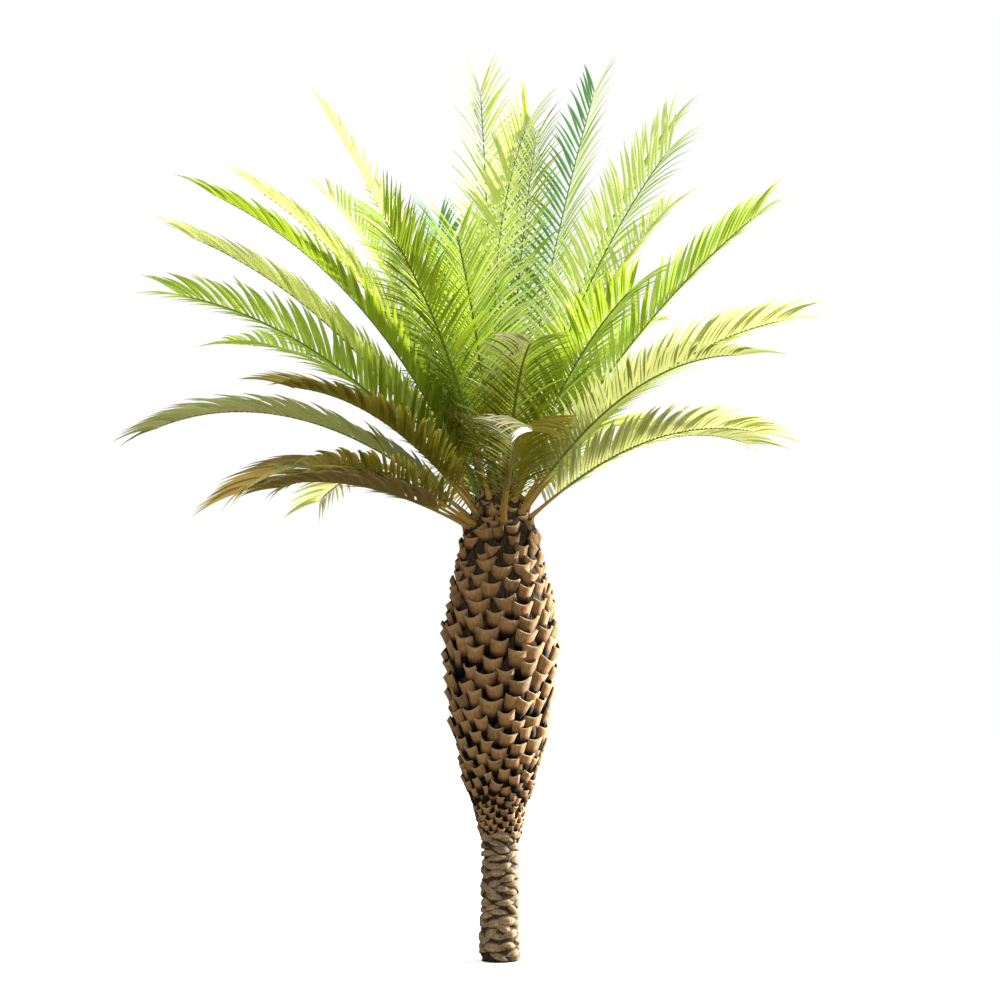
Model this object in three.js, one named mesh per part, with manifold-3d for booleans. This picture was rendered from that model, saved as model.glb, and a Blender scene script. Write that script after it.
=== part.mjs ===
// A young date palm, its trunk trimmed to a pineapple shape, rooted in level ground.
// Millimetres and degrees, +Z up. The origin is the middle of the flat cut at ground level.
// Bearings run anticlockwise from +X as seen from above.
import * as THREE from 'three';
import { mergeVertices } from 'three/addons/utils/BufferGeometryUtils.js';
import Module from 'manifold-3d';

// ---- trunk ----
const GOLDEN_ANGLE = 137.508; // each row turns on from the one below by its share of this
const TRUNK_OUTLINE = [ // height, radius over the leaf bases
  [-100, 130], [0, 126], [320, 116], [700, 110], [820, 136], [950, 154], [1130, 224],
  [1440, 290], [1780, 326], [1960, 344], [2200, 321], [2480, 268], [2700, 230],
];
const TRUNK_TOP = TRUNK_OUTLINE[TRUNK_OUTLINE.length - 1][0];
// Leaf bases stand in rows, so many together, and wind up the trunk. Their widths, depths and
// the rise between rows are shares of the trunk's radius at their height. right and left count
// how many rows on the next one lies up to the right and up to the left.
const STEM_SCARS = { from: -90, to: 900, together: 1, rise: 0.061, right: 3, left: 5, half: 0.4, depth: 0.1 };
const LEAF_BASES = { from: 800, to: 2590, together: 2, rise: 0.039, right: 8, left: 5, half: 0.14, depth: 0.11 };
const CREASE_LIFT = 0.1; // the crease lies this share of its row above the edge in front of it
const HEART = { foot: 2500, shoulder: 2605, shoulderRadius: 230, top: 2960, topRadius: 60, crown: 2985 };
const HEART_SIDES = 24;

// ---- crown ----
const CLEARANCE = 0.3; // between a frond and the heart, or between the halves of a split frond
const LOWEST_RISE = 19; // fronds of this rise leave the shoulder of the heart
const HIGHEST_RISE = 88; // and from this one on its top
const FOOT_POWER = 1.35; // most of the others leave it lower than halfway
// Bearing and rise of every frond, from the lowest tier to the spears in the middle. Then come,
// for some, the shares of their tier's length and bend, and the twist that lifts the right row.
const FRONDS = [
  [207, 22.6, 0.69, 0.85], [219.5, 26.8, 0.88, 1.3], [126, 30, 1, 1.21], [275, 29.5, 0.92],
  [95, 30, 0.92], [150, 29, 0.76], [341, 38.4, 0.78, 1.2, 8], [37, 36],
  [220, 42.2, 0.77, 1.05, 12], [178, 40, 1.03, 1.4], [62, 39], [315, 44, 0.92, 1.2],
  [275, 41, 0.95], [84, 43], [112, 45], [22, 52, 0.78], [150, 50.5, 1, 1.27, 20],
  [352, 51, 0.89, 1.12, 12], [197, 50, 1, 1.1, -15], [60, 52], [178, 55.9, 1.04, 0.97],
  [354, 58, 0.95, 0.6, 15], [308, 58, 0.7], [90, 60], [242, 61, 0.78], [200, 62, 1, 1.4, 14],
  [170, 66.2, 0.97, 1.25], [40, 66, 0.95], [120, 66], [255, 68, 0.68], [3, 73.4, 0.93, 1, -50],
  [142, 67.5, 0.96, 1.05], [212, 73, 0.72, 1, -50], [168, 73.1, 1, 0.75],
  [22, 73.5, 1.03, 1, -20], [82, 74], [120, 75, 0.77], [71, 80, 0.96], [49, 75.5, 1.09, 0.45],
  [125, 88, 0.96, 0.5, 15], [320, 100, 0.88, 5.6, 12],
];
const SHORT_FROND = 2230; // rib length at the lowest rise
const LONG_FROND = 2740; // rib length of the steep fronds
const STEEP_FROM = 34; // ribs grow longer from this rise
const STEEP_TO = 70; // up to this rise
const LIMP_BEND = 57; // degrees that a low rib turns from foot to tip
const LIMP_UNTIL = 36; // steeper ribs are stiffer
const STIFFENING = 0.9; // degrees of bend lost for each degree of rise past that
const STIFF_BEND = 8; // the least that a rib turns
const BEND_POWER = 1.6; // a rib turns most towards its tip
const SPLIT_BEND = 50; // a rib that turns further is made in two halves
const ROOTED = 45; // the petiole starts this far inside the heart
const PETIOLE = 200; // bare foot of the rib
const BARE_STRETCHES = 2; // the rib's first stretches, up to the first leaflet
const PAIRS = 17; // leaflets on each side
const RIB_WIDTH = { swelling: 24, swollenRun: 110, foot: 26, tip: 10 };
const RIB_THICKNESS = 0.7; // share of its width
const STEEP_WIDTH = 0.62; // width of the steepest ribs as a share of the lowest ones'
const LEAFLET = { length: 440, thickness: 5, gap: 0.5 };
const LEAFLET_ANGLE = { foot: 66, tip: 21, power: 1.5, oldCloser: 13 }; // between leaflet and rib
const LEAFLET_RAISE = { foot: 30, tip: 12, leastShare: 0.25 }; // the two rows stand up in a V
const LEAFLET_FULLNESS = { least: 0.55, power: 0.8 }; // shortest share of length, peak before midway
const LEAFLET_SAG = 0.05; // share of its length that a leaflet's tip hangs down
const LEAFLET_CUTS = [1, 0.8, 0.6, 0.42]; // shares of full length tried where the crown is crowded
const END_LEAFLET = 210;

const TRUNK_COLOUR = 0x8a6f4e;
const FROND_COLOURS = [ // from this rise up
  [66, 0xa9cf62], [40, 0x6f9a28], [0, 0x7d7a33],
];

const wasm = await Module();
wasm.setup();

const { degToRad, lerp, smoothstep, clamp } = THREE.MathUtils;
const UP = new THREE.Vector3(0, 0, 1);

const polar = (radius, bearing, z) => new THREE.Vector3(
  radius * Math.cos(degToRad(bearing)), radius * Math.sin(degToRad(bearing)), z);

function closedSolid(geometry) {
  const merged = mergeVertices(geometry);
  return new wasm.Manifold(new wasm.Mesh({
    numProp: 3,
    vertProperties: new Float32Array(merged.attributes.position.array),
    triVerts: new Uint32Array(merged.index.array),
  }));
}

// A solid from its triangles, each three points in anticlockwise order from outside
const solid = (triangles) => closedSolid(new THREE.BufferGeometry().setFromPoints(triangles.flat()));

function turned(outline, sides) {
  const profile = outline.map(([radius, z]) => new THREE.Vector2(radius, z));
  const lathe = new THREE.LatheGeometry(profile, sides).rotateX(Math.PI / 2);
  lathe.deleteAttribute('normal');
  lathe.deleteAttribute('uv');
  return closedSolid(lathe);
}

function named(name, colour, body) {
  const mesh = body.getMesh();
  const geometry = new THREE.BufferGeometry();
  geometry.setAttribute('position', new THREE.BufferAttribute(mesh.vertProperties, 3));
  geometry.setIndex(new THREE.BufferAttribute(mesh.triVerts, 1));
  const material = new THREE.MeshStandardMaterial({
    color: colour, roughness: 0.7, metalness: 0, flatShading: true,
  });
  const made = new THREE.Mesh(geometry, material);
  made.name = name;
  return made;
}

// ---- trunk: rows of leaf bases wound round it at the golden angle ----
function trunkRadius(z) {
  const above = Math.max(1, TRUNK_OUTLINE.findIndex(([height]) => height >= Math.min(z, TRUNK_TOP)));
  const [z0, r0] = TRUNK_OUTLINE[above - 1];
  const [z1, r1] = TRUNK_OUTLINE[above];
  return lerp(r0, r1, (z - z0) / (z1 - z0));
}

// Every base has a top edge that stands proud and a crease just above that edge, deep in the
// trunk. The six corners round a crease are its own edge, the neighbours' corners, and the edge
// of the base that rises out of it, so the bases overlap like shingles.
function windBases({ from, to, together, rise, right, left, half, depth }) {
  const rows = [];
  const apart = 360 / together;
  const turnOn = GOLDEN_ANGLE / together;
  const halfAngle = THREE.MathUtils.radToDeg(half);
  for (let z = from; z < to; z += rise * trunkRadius(z)) {
    const radius = trunkRadius(z);
    const lift = CREASE_LIFT * (right + left) * rise * radius;
    const row = [];
    for (let k = 0; k < together; k += 1) {
      const bearing = turnOn * rows.length + apart * k;
      row.push({
        left: polar(radius, bearing - halfAngle, z),
        right: polar(radius, bearing + halfAngle, z),
        crease: polar(radius * (1 - depth), bearing, z + lift),
      });
    }
    rows.push(row);
  }
  // The base that lies nearest in bearing to base k of a row, so many rows on
  const rowsOn = (row, k, count) => {
    const passed = Math.round(turnOn * count / apart);
    return rows[row + count][THREE.MathUtils.euclideanModulo(k - passed, together)];
  };
  const faces = [];
  for (let row = 0; row + right + left < rows.length; row += 1) {
    rows[row].forEach((base, k) => {
      const above = rowsOn(row, k, right + left);
      const ring = [base.left, base.right, rowsOn(row, k, right).left,
        above.right, above.left, rowsOn(row, k, left).right];
      ring.forEach((corner, i) => faces.push([base.crease, corner, ring[(i + 1) % ring.length]]));
    });
  }
  return solid([...faces, ...closeEnds(faces, from, to)]);
}

// The open rims at the foot and the top are closed to a point on the axis
function closeEnds(faces, from, to) {
  const key = (p) => `${p.x} ${p.y} ${p.z}`;
  const edges = new Map();
  for (const face of faces) {
    face.forEach((p, i) => {
      const q = face[(i + 1) % 3];
      edges.set(`${key(p)} ${key(q)}`, [p, q]);
    });
  }
  const foot = new THREE.Vector3(0, 0, from);
  const top = new THREE.Vector3(0, 0, to);
  const caps = [];
  for (const [p, q] of edges.values()) {
    if (edges.has(`${key(q)} ${key(p)}`)) continue;
    caps.push([q, p, p.z < (from + to) / 2 ? foot : top]);
  }
  return caps;
}

const heartOutline = (grown) => [
  [0, HEART.foot - grown], [HEART.shoulderRadius + grown, HEART.foot - grown],
  [HEART.shoulderRadius + grown, HEART.shoulder + grown], [HEART.topRadius + grown, HEART.top + grown],
  [0, HEART.crown + grown],
];

function makeTrunk() {
  const stem = windBases(STEM_SCARS);
  const pineapple = windBases(LEAF_BASES);
  const heart = turned(heartOutline(0), HEART_SIDES);
  return stem.add(pineapple).add(heart).trimByPlane([0, 0, 1], 0);
}

// ---- fronds ----
function describeFrond([bearing, rise, lengthShare = 1, bendShare = 1, twist = 0]) {
  const steepness = Math.min(1, (rise - LOWEST_RISE) / (HIGHEST_RISE - LOWEST_RISE));
  const upHeart = steepness ** FOOT_POWER;
  const length = lerp(SHORT_FROND, LONG_FROND, smoothstep(rise, STEEP_FROM, STEEP_TO)) * lengthShare;
  const limpness = LIMP_BEND - STIFFENING * Math.max(0, rise - LIMP_UNTIL);
  const bend = Math.max(STIFF_BEND, limpness) * bendShare;
  const foot = polar(lerp(HEART.shoulderRadius, HEART.topRadius, upHeart), bearing,
    lerp(HEART.shoulder, HEART.top, upHeart));
  return { bearing, rise, steepness, length, bend, foot, twist };
}

// Places along the rib, from inside the heart to the last leaflet. Each has the four corners of
// the rib there: its slope falls away from the rise as the rib bends over, and the stalk twists.
function ribStations({ bearing, rise, steepness, length, bend, foot, twist }) {
  const slopeAt = (share) => degToRad(rise - bend * Math.max(0, share) ** BEND_POWER);
  const steps = [-ROOTED, PETIOLE / 2, PETIOLE];
  for (let k = 1; k <= PAIRS; k += 1) steps.push(lerp(PETIOLE, length - END_LEAFLET, k / PAIRS));
  const outward = polar(1, bearing, 0);
  const level = new THREE.Vector3().crossVectors(outward, UP);
  let previous = 0;
  const centre = foot.clone();
  return steps.map((distance) => {
    const mid = slopeAt((previous + distance) / 2 / length);
    centre.addScaledVector(outward, (distance - previous) * Math.cos(mid));
    centre.z += (distance - previous) * Math.sin(mid);
    previous = distance;
    const share = clamp(distance / length, 0, 1);
    const slope = slopeAt(share);
    const along = outward.clone().multiplyScalar(Math.cos(slope)).addScaledVector(UP, Math.sin(slope));
    const turn = degToRad(twist) * clamp(distance / PETIOLE, 0, 1);
    const side = level.clone().applyAxisAngle(along, -turn);
    const up = new THREE.Vector3().crossVectors(side, along);
    const width = lerp(1, STEEP_WIDTH, steepness) * (lerp(RIB_WIDTH.foot, RIB_WIDTH.tip, share)
      + RIB_WIDTH.swelling * Math.exp(-Math.max(0, distance) / RIB_WIDTH.swollenRun));
    const corner = (acrossShare, upShare) => centre.clone()
      .addScaledVector(side, acrossShare * width / 2)
      .addScaledVector(up, upShare * width * RIB_THICKNESS / 2);
    return {
      share, steepness, along, side, up,
      topLeft: corner(-1, 1), topRight: corner(1, 1), bottomRight: corner(1, -1), bottomLeft: corner(-1, -1),
    };
  });
}

// One leaflet on the right (hand 1) or left (hand -1) between two stations
function makeLeaflet(rear, front, hand, cut) {
  const { share, steepness, along, side, up } = rear;
  const widest = LEAFLET_ANGLE.foot - LEAFLET_ANGLE.oldCloser * (1 - steepness);
  const angle = degToRad(lerp(widest, LEAFLET_ANGLE.tip, share ** LEAFLET_ANGLE.power));
  const raise = degToRad(lerp(LEAFLET_RAISE.foot, LEAFLET_RAISE.tip, share)
    * lerp(LEAFLET_RAISE.leastShare, 1, Math.min(1, 1.5 * steepness)));
  const swell = Math.sin(Math.PI * share ** LEAFLET_FULLNESS.power);
  const length = LEAFLET.length * lerp(LEAFLET_FULLNESS.least, 1, swell) * cut;
  const across = side.clone().multiplyScalar(hand * Math.cos(raise)).addScaledVector(up, Math.sin(raise));
  const aim = along.clone().multiplyScalar(Math.cos(angle)).addScaledVector(across, Math.sin(angle));
  aim.z -= LEAFLET_SAG;
  const ring = hand > 0
    ? [rear.topRight, rear.bottomRight, front.bottomRight, front.topRight]
    : [front.topLeft, front.bottomLeft, rear.bottomLeft, rear.topLeft];
  return spike(ring, aim, length, up);
}

// Four corners in anticlockwise order from outside, the first and last of them on top, drawn
// out to a short upright edge
function spike(ring, aim, length, up) {
  const middle = new THREE.Vector3();
  ring.forEach((corner) => middle.addScaledVector(corner, 1 / ring.length));
  middle.addScaledVector(aim, length);
  return {
    ring,
    tipTop: middle.clone().addScaledVector(up, LEAFLET.thickness / 2),
    tipBottom: middle.clone().addScaledVector(up, -LEAFLET.thickness / 2),
  };
}

const spikeFaces = ({ ring: [a, b, c, d], tipTop, tipBottom }) => [
  [a, b, tipBottom], [a, tipBottom, tipTop], [b, c, tipBottom],
  [c, d, tipTop], [c, tipTop, tipBottom], [d, a, tipTop],
];
const quadFaces = ([a, b, c, d]) => [[a, b, c], [a, c, d]];

// ---- room in the crown: a leaflet that would touch anything is shortened or left out ----
// A cell is a small convex piece: its corners, the directions of its edges, and its box
function makeCell(points, edges) {
  edges.forEach((edge) => edge.normalize());
  return { points, edges, box: new THREE.Box3().setFromPoints(points) };
}

const spikeCell = ({ ring, tipTop, tipBottom }) => makeCell([...ring, tipTop, tipBottom], [
  ring[3].clone().sub(ring[0]), ring[1].clone().sub(ring[0]),
  tipTop.clone().sub(ring[0]), tipTop.clone().sub(ring[3]),
]);
const ribCell = (rear, front) => makeCell(
  [rear, front].flatMap((station) => CORNERS.map((corner) => station[corner])),
  [rear.along.clone(), rear.side.clone(), rear.up.clone(), front.up.clone()]);

const NEARLY_PARALLEL = 1e-4;
const crosses = (some, others) => some.flatMap((a) => others.map((b) => a.clone().cross(b)))
  .filter((direction) => direction.lengthSq() > NEARLY_PARALLEL)
  .map((direction) => direction.normalize());

// Two convex cells lie apart when, along some direction, their shadows have a gap between them
function liesApart(a, b) {
  const reach = a.box.clone().expandByScalar(LEAFLET.gap);
  if (!reach.intersectsBox(b.box)) return true;
  const pairs = [[a, b], [a, a], [b, b]];
  const directions = pairs.flatMap(([first, second]) => crosses(first.edges, second.edges));
  return directions.some((direction) => {
    const shadowA = a.points.map((p) => p.dot(direction));
    const shadowB = b.points.map((p) => p.dot(direction));
    return Math.min(...shadowB) - Math.max(...shadowA) > LEAFLET.gap
      || Math.min(...shadowA) - Math.max(...shadowB) > LEAFLET.gap;
  });
}

// A leaflet also stays outside the trunk
function clearsTrunk({ tipTop, ring }) {
  const halfway = ring[0].clone().lerp(tipTop, 0.5);
  return [halfway, tipTop].every((point) => point.z > HEART.top
    || Math.hypot(point.x, point.y) > trunkRadius(point.z) + 2 * LEAFLET.thickness);
}

const CORNERS = ['topLeft', 'topRight', 'bottomRight', 'bottomLeft'];
const nudged = (station) => {
  const shift = station.along.clone().multiplyScalar(CLEARANCE);
  const moved = CORNERS.map((corner) => [corner, station[corner].clone().add(shift)]);
  return { ...station, ...Object.fromEntries(moved) };
};

// The pieces of the crown: one for each frond, or two where its rib is split at the bend
function planPieces() {
  return FRONDS.flatMap((entry, index) => {
    const frond = describeFrond(entry);
    const stations = ribStations(frond);
    const name = `frond_${String(index + 1).padStart(2, '0')}`;
    const middle = Math.round(stations.length / 2);
    const runs = frond.bend > SPLIT_BEND
      ? [[`${name}_inner`, stations.slice(0, middle + 1)],
        [`${name}_outer`, [nudged(stations[middle]), ...stations.slice(middle + 1)]]]
      : [[name, stations]];
    return runs.map(([pieceName, run], part) => ({
      name: pieceName, frond: index, rise: frond.rise, stations: run,
      isFoot: part === 0, isTip: part === runs.length - 1, leaflets: [],
    }));
  });
}

function endLeaflet({ stations }) {
  const last = stations[stations.length - 1];
  const ring = [last.topRight, last.bottomRight, last.bottomLeft, last.topLeft];
  return spike(ring, last.along, END_LEAFLET, last.up);
}

// Ribs come first, then the leaflets from every tip inwards
function growLeaflets(pieces) {
  const taken = [];
  for (const piece of pieces) {
    piece.stations.slice(1).forEach((front, i) => {
      taken.push({ piece, cell: ribCell(piece.stations[i], front) });
    });
    if (piece.isTip) taken.push({ piece, cell: spikeCell(endLeaflet(piece)) });
  }
  const sites = pieces.flatMap((piece) => piece.stations.slice(1).flatMap((front, i) => {
    const rear = piece.stations[i];
    if (piece.isFoot && i < BARE_STRETCHES) return [];
    return [1, -1].map((hand) => ({ piece, rear, front, hand, segment: i }));
  }));
  sites.sort((a, b) => b.rear.share - a.rear.share);
  for (const { piece, rear, front, hand, segment } of sites) {
    for (const cut of LEAFLET_CUTS) {
      const leaflet = makeLeaflet(rear, front, hand, cut);
      const cell = spikeCell(leaflet);
      const free = clearsTrunk(leaflet)
        && taken.every((other) => other.piece.frond === piece.frond || liesApart(cell, other.cell));
      if (!free) continue;
      taken.push({ piece, cell });
      piece.leaflets.push({ segment, hand, leaflet });
      break;
    }
  }
}

function makeFrond(piece, heartRoom) {
  const { stations, leaflets } = piece;
  const first = stations[0];
  const faces = quadFaces([first.topLeft, first.bottomLeft, first.bottomRight, first.topRight]);
  stations.slice(1).forEach((front, i) => {
    const rear = stations[i];
    faces.push(...quadFaces([rear.topLeft, rear.topRight, front.topRight, front.topLeft]));
    faces.push(...quadFaces([rear.bottomLeft, front.bottomLeft, front.bottomRight, rear.bottomRight]));
    const walls = {
      1: [rear.topRight, rear.bottomRight, front.bottomRight, front.topRight],
      '-1': [front.topLeft, front.bottomLeft, rear.bottomLeft, rear.topLeft],
    };
    for (const hand of [1, -1]) {
      const grown = leaflets.find((l) => l.segment === i && l.hand === hand);
      faces.push(...(grown ? spikeFaces(grown.leaflet) : quadFaces(walls[hand])));
    }
  });
  const last = stations[stations.length - 1];
  faces.push(...(piece.isTip ? spikeFaces(endLeaflet(piece))
    : quadFaces([last.topRight, last.bottomRight, last.bottomLeft, last.topLeft])));
  const body = solid(faces);
  return piece.isFoot ? body.subtract(heartRoom) : body;
}

const palm = new THREE.Group();
palm.add(named('trunk', TRUNK_COLOUR, makeTrunk()));

const heartRoom = turned(heartOutline(CLEARANCE), HEART_SIDES);
const pieces = planPieces();
growLeaflets(pieces);
for (const piece of pieces) {
  const [, colour] = FROND_COLOURS.find(([rise]) => piece.rise >= rise);
  palm.add(named(piece.name, colour, makeFrond(piece, heartRoom)));
}

export default palm;
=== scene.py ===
"""A young date palm: slim scarred stem, pineapple-trimmed trunk, full crown of feather fronds.
Metres, +Z up, bearings in degrees anticlockwise from +X as seen from above."""

import bmesh
import bpy
import numpy as np
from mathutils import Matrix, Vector, noise


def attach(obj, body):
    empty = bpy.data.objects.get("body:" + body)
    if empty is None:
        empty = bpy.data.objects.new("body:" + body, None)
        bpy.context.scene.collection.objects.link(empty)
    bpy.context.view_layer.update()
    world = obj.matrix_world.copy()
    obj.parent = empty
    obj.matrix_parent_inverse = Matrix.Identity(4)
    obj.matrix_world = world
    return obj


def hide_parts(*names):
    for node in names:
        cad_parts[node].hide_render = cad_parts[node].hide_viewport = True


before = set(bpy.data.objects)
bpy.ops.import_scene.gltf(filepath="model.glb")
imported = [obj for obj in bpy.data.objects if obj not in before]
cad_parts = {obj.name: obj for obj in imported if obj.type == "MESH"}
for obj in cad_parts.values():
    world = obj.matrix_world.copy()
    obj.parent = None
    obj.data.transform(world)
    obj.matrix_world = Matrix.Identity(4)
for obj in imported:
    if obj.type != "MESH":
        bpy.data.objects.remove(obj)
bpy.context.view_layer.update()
chance = np.random.default_rng(7)

# ---- the trunk's core --------------------------------------------------------------------------
# The living wood and the mat of coarse brown fibre in the gaps between the cut leaf bases, its
# colour painted nearly black as painted shade of the gaps. It is one turned form, slim at the stem
# and swollen under the crown, and it ends in the cone of the heart, from which the fronds grow.
TRUNK_HEIGHTS = (
    0.0, 0.32, 0.70, 0.82, 0.95, 1.13, 1.44, 1.78, 1.96, 2.20, 2.48, 2.62, 2.96, 2.985)
TRUNK_RADII = (
    0.126, 0.116, 0.110, 0.136, 0.154, 0.224, 0.290, 0.326, 0.344, 0.321, 0.268, 0.240, 0.075, 0.04)
CORE_SHARE = 0.87  # of the radius over the leaf bases
CORE_STEP = 0.02
CORE_SIDES = 84
CORE_ROUGHNESS = 0.006
CORE_RUTS = (40, 40, 12)  # how many its furrows are to the metre, across and up


def trunk_radius(z):
    return np.interp(z, TRUNK_HEIGHTS, TRUNK_RADII)


def put(name, mesh, slot, *materials):
    """Place a finished mesh in the scene as a piece that rides on the palm's one body."""
    for material in materials:
        mesh.materials.append(material)
    mesh.polygons.foreach_set("use_smooth", [True] * len(mesh.polygons))
    piece = bpy.data.objects.new(name, mesh)
    bpy.context.collection.objects.link(piece)
    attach(piece, "root")
    return piece


def fibre_group():
    """Streaks that run up the plant: a mask of them and the relief they make."""
    group = bpy.data.node_groups.new("fibre", "ShaderNodeTree")
    for label, value in (("Across", 90.0), ("Along", 9.0), ("Relief", 0.4)):
        socket = group.interface.new_socket(label, in_out="INPUT", socket_type="NodeSocketFloat")
        socket.default_value = value
    group.interface.new_socket("Mask", in_out="OUTPUT", socket_type="NodeSocketFloat")
    group.interface.new_socket("Normal", in_out="OUTPUT", socket_type="NodeSocketVector")
    nodes, links = group.nodes, group.links
    given = nodes.new("NodeGroupInput")
    result = nodes.new("NodeGroupOutput")
    place = nodes.new("ShaderNodeTexCoord")
    stretch = nodes.new("ShaderNodeCombineXYZ")
    links.new(given.outputs["Across"], stretch.inputs["X"])
    links.new(given.outputs["Across"], stretch.inputs["Y"])
    links.new(given.outputs["Along"], stretch.inputs["Z"])
    scaled = nodes.new("ShaderNodeVectorMath")
    scaled.operation = "MULTIPLY"
    links.new(place.outputs["Object"], scaled.inputs[0])
    links.new(stretch.outputs["Vector"], scaled.inputs[1])
    streaks = nodes.new("ShaderNodeTexNoise")
    streaks.inputs["Scale"].default_value = 1.0
    streaks.inputs["Detail"].default_value = 5.0
    links.new(scaled.outputs["Vector"], streaks.inputs["Vector"])
    bump = nodes.new("ShaderNodeBump")
    bump.inputs["Distance"].default_value = 0.004
    links.new(given.outputs["Relief"], bump.inputs["Strength"])
    links.new(streaks.outputs["Fac"], bump.inputs["Height"])
    links.new(streaks.outputs["Fac"], result.inputs["Mask"])
    links.new(bump.outputs["Normal"], result.inputs["Normal"])
    return group


fibre = fibre_group()


def streaked_material(name, across, along, relief, smoothest, roughest):
    """A material with the fibre's relief, and a gloss that its streaks break up. Gives back the
    material, its shader, and the mask of the streaks for whatever else they should change."""
    material = bpy.data.materials.new(name)
    material.use_nodes = True
    nodes, links = material.node_tree.nodes, material.node_tree.links
    shader = nodes["Principled BSDF"]
    streaks = nodes.new("ShaderNodeGroup")
    streaks.node_tree = fibre
    streaks.inputs["Across"].default_value = across
    streaks.inputs["Along"].default_value = along
    streaks.inputs["Relief"].default_value = relief
    shade = nodes.new("ShaderNodeMapRange")
    shade.inputs["To Min"].default_value = smoothest
    shade.inputs["To Max"].default_value = roughest
    links.new(streaks.outputs["Mask"], shade.inputs["Value"])
    links.new(shade.outputs["Result"], shader.inputs["Roughness"])
    links.new(streaks.outputs["Normal"], shader.inputs["Normal"])
    return material, shader, streaks.outputs["Mask"]


def bark_material(name, dark, light, roughness, across, along, relief):
    """Dull, fibrous plant matter with streaks from dark to light."""
    material, shader, mask = streaked_material(
        name, across, along, relief, roughness - 0.12, roughness + 0.1)
    shader.inputs["Specular IOR Level"].default_value = 0.08
    colours = material.node_tree.nodes.new("ShaderNodeValToRGB")
    for element, share, colour in zip(colours.color_ramp.elements, (0.32, 0.66), (dark, light)):
        element.position, element.color = share, (*colour, 1)
    material.node_tree.links.new(mask, colours.inputs["Fac"])
    material.node_tree.links.new(colours.outputs["Color"], shader.inputs["Base Color"])
    return material


def core_mesh():
    """The outline turned about the plant's axis, closed at both ends and roughened."""
    top = TRUNK_HEIGHTS[-1]
    heights = np.arange(0.0, top + CORE_STEP / 2, CORE_STEP)
    turned = bmesh.new()
    profile = [turned.verts.new((trunk_radius(z) * CORE_SHARE, 0, z)) for z in heights]
    edges = [turned.edges.new(pair) for pair in zip(profile, profile[1:])]
    bmesh.ops.spin(
        turned, geom=profile + edges, cent=(0, 0, 0), axis=(0, 0, 1),
        angle=2 * np.pi, steps=CORE_SIDES, use_merge=True,
    )
    bmesh.ops.remove_doubles(turned, verts=turned.verts, dist=1e-5)
    rims = [edge for edge in turned.edges if edge.is_boundary]
    bmesh.ops.holes_fill(turned, edges=rims, sides=0)
    for vert in turned.verts:
        if 0 < vert.co.z < top:
            out = Vector((vert.co.x, vert.co.y, 0)).normalized()
            wave = noise.noise(vert.co * Vector(CORE_RUTS))
            vert.co += out * wave * CORE_ROUGHNESS
    bmesh.ops.recalc_face_normals(turned, faces=turned.faces)
    mesh = bpy.data.meshes.new("trunk_core")
    turned.to_mesh(mesh)
    turned.free()
    return mesh


# painted shade: the core is coloured nearly black so that the gaps between the bases look shadowed
core_fibre_in_shade = bark_material(
    "core_fibre_in_shade", dark=(0.010, 0.008, 0.005), light=(0.075, 0.050, 0.028),
    roughness=0.85, across=110, along=14, relief=0.8)
core = put("trunk_core", core_mesh(), "trunk_bark", core_fibre_in_shade)
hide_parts("trunk")

# ---- cut leaf bases on the pineapple -----------------------------------------------------------
# Each is the stump of an old frond's stalk: a tan, shell-shaped slab as broad as a hand that
# leans out of the trunk, cut across the top in a shallow dip with two raised corners. They wind
# up the trunk in pairs, each overlapped by the ones below it, and their foot is painted dark, as
# painted shade of the crevice where they root.
GOLDEN_ANGLE = 137.508  # from one to the next up the trunk
BASES_FROM = 0.78
BASES_TO = 2.97
BASES_TOGETHER = 2
BASE_RISE = 0.039  # from one pair to the next; a share of the trunk's radius, as the next three are
BASE_WIDTH = 0.45
BASE_HEIGHT = 0.50
BASE_STANDS = 0.19  # how far the top stands out from the core
BASE_THICKNESS = 0.10  # shares of its own width, as the next two are
BASE_BULGE = 0.25
BASE_LIP = 0.05  # how far the top curls out
BASE_DIP = 0.10  # of the cut, as a share of its height
BASE_FOOT_WIDTH = 0.62  # as a share of its width at the top
BASE_STAND_RANGE, BASE_HEIGHT_RANGE, BASE_WIDTH_RANGE = (0.65, 1.2), (0.85, 1.15), (0.74, 1.12)
BASE_TURN_SPREAD = 0.14  # in radians, both for the tilt and for the twist
BASE_BEARING_SPREAD, BASE_PLACE_SPREAD = 0.04, 0.035  # radians, and a share of the trunk's radius
BASE_SUNK = 0.8  # of its bulge, so that the cut edge and not the bulge stands out
BASE_FOLLOWS, BASE_FOLLOWS_TO = 0.9, 0.6  # the trunk's own slope, and the steepest it follows
FACES_UP, FACES_OUT = 0.75, 0.3  # from here on a face belongs to the cut rim, or to the outside
NECK_FROM = 2.35  # above this, below the crown, they are younger, looser and more ragged
NECK_FADE = 0.25
NECK_DISORDER = 1.3
NECK_FLATTENING, NECK_FLATTENS_OVER = 0.5, 0.35  # it starts lower down, by the fade


def wound_places(start, stop, together, rise):
    """Height, bearing and trunk radius of every base or scar, from the lowest upwards."""
    places = []
    z = start
    row = 0
    while z < stop:
        for k in range(together):
            bearing = np.radians(GOLDEN_ANGLE / together * row + 360 / together * k)
            places.append((z, bearing, trunk_radius(z)))
        z += rise * trunk_radius(z)
        row += 1
    return np.array(places)


def thicken(sheet, thickness):
    """Turn a sheet to face out, and give it its thickness behind."""
    bmesh.ops.recalc_face_normals(sheet, faces=sheet.faces)
    faces = sheet.faces[:]
    if faces[0].normal.z < 0:
        bmesh.ops.reverse_faces(sheet, faces=faces)
    bmesh.ops.solidify(sheet, geom=faces, thickness=thickness)


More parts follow.
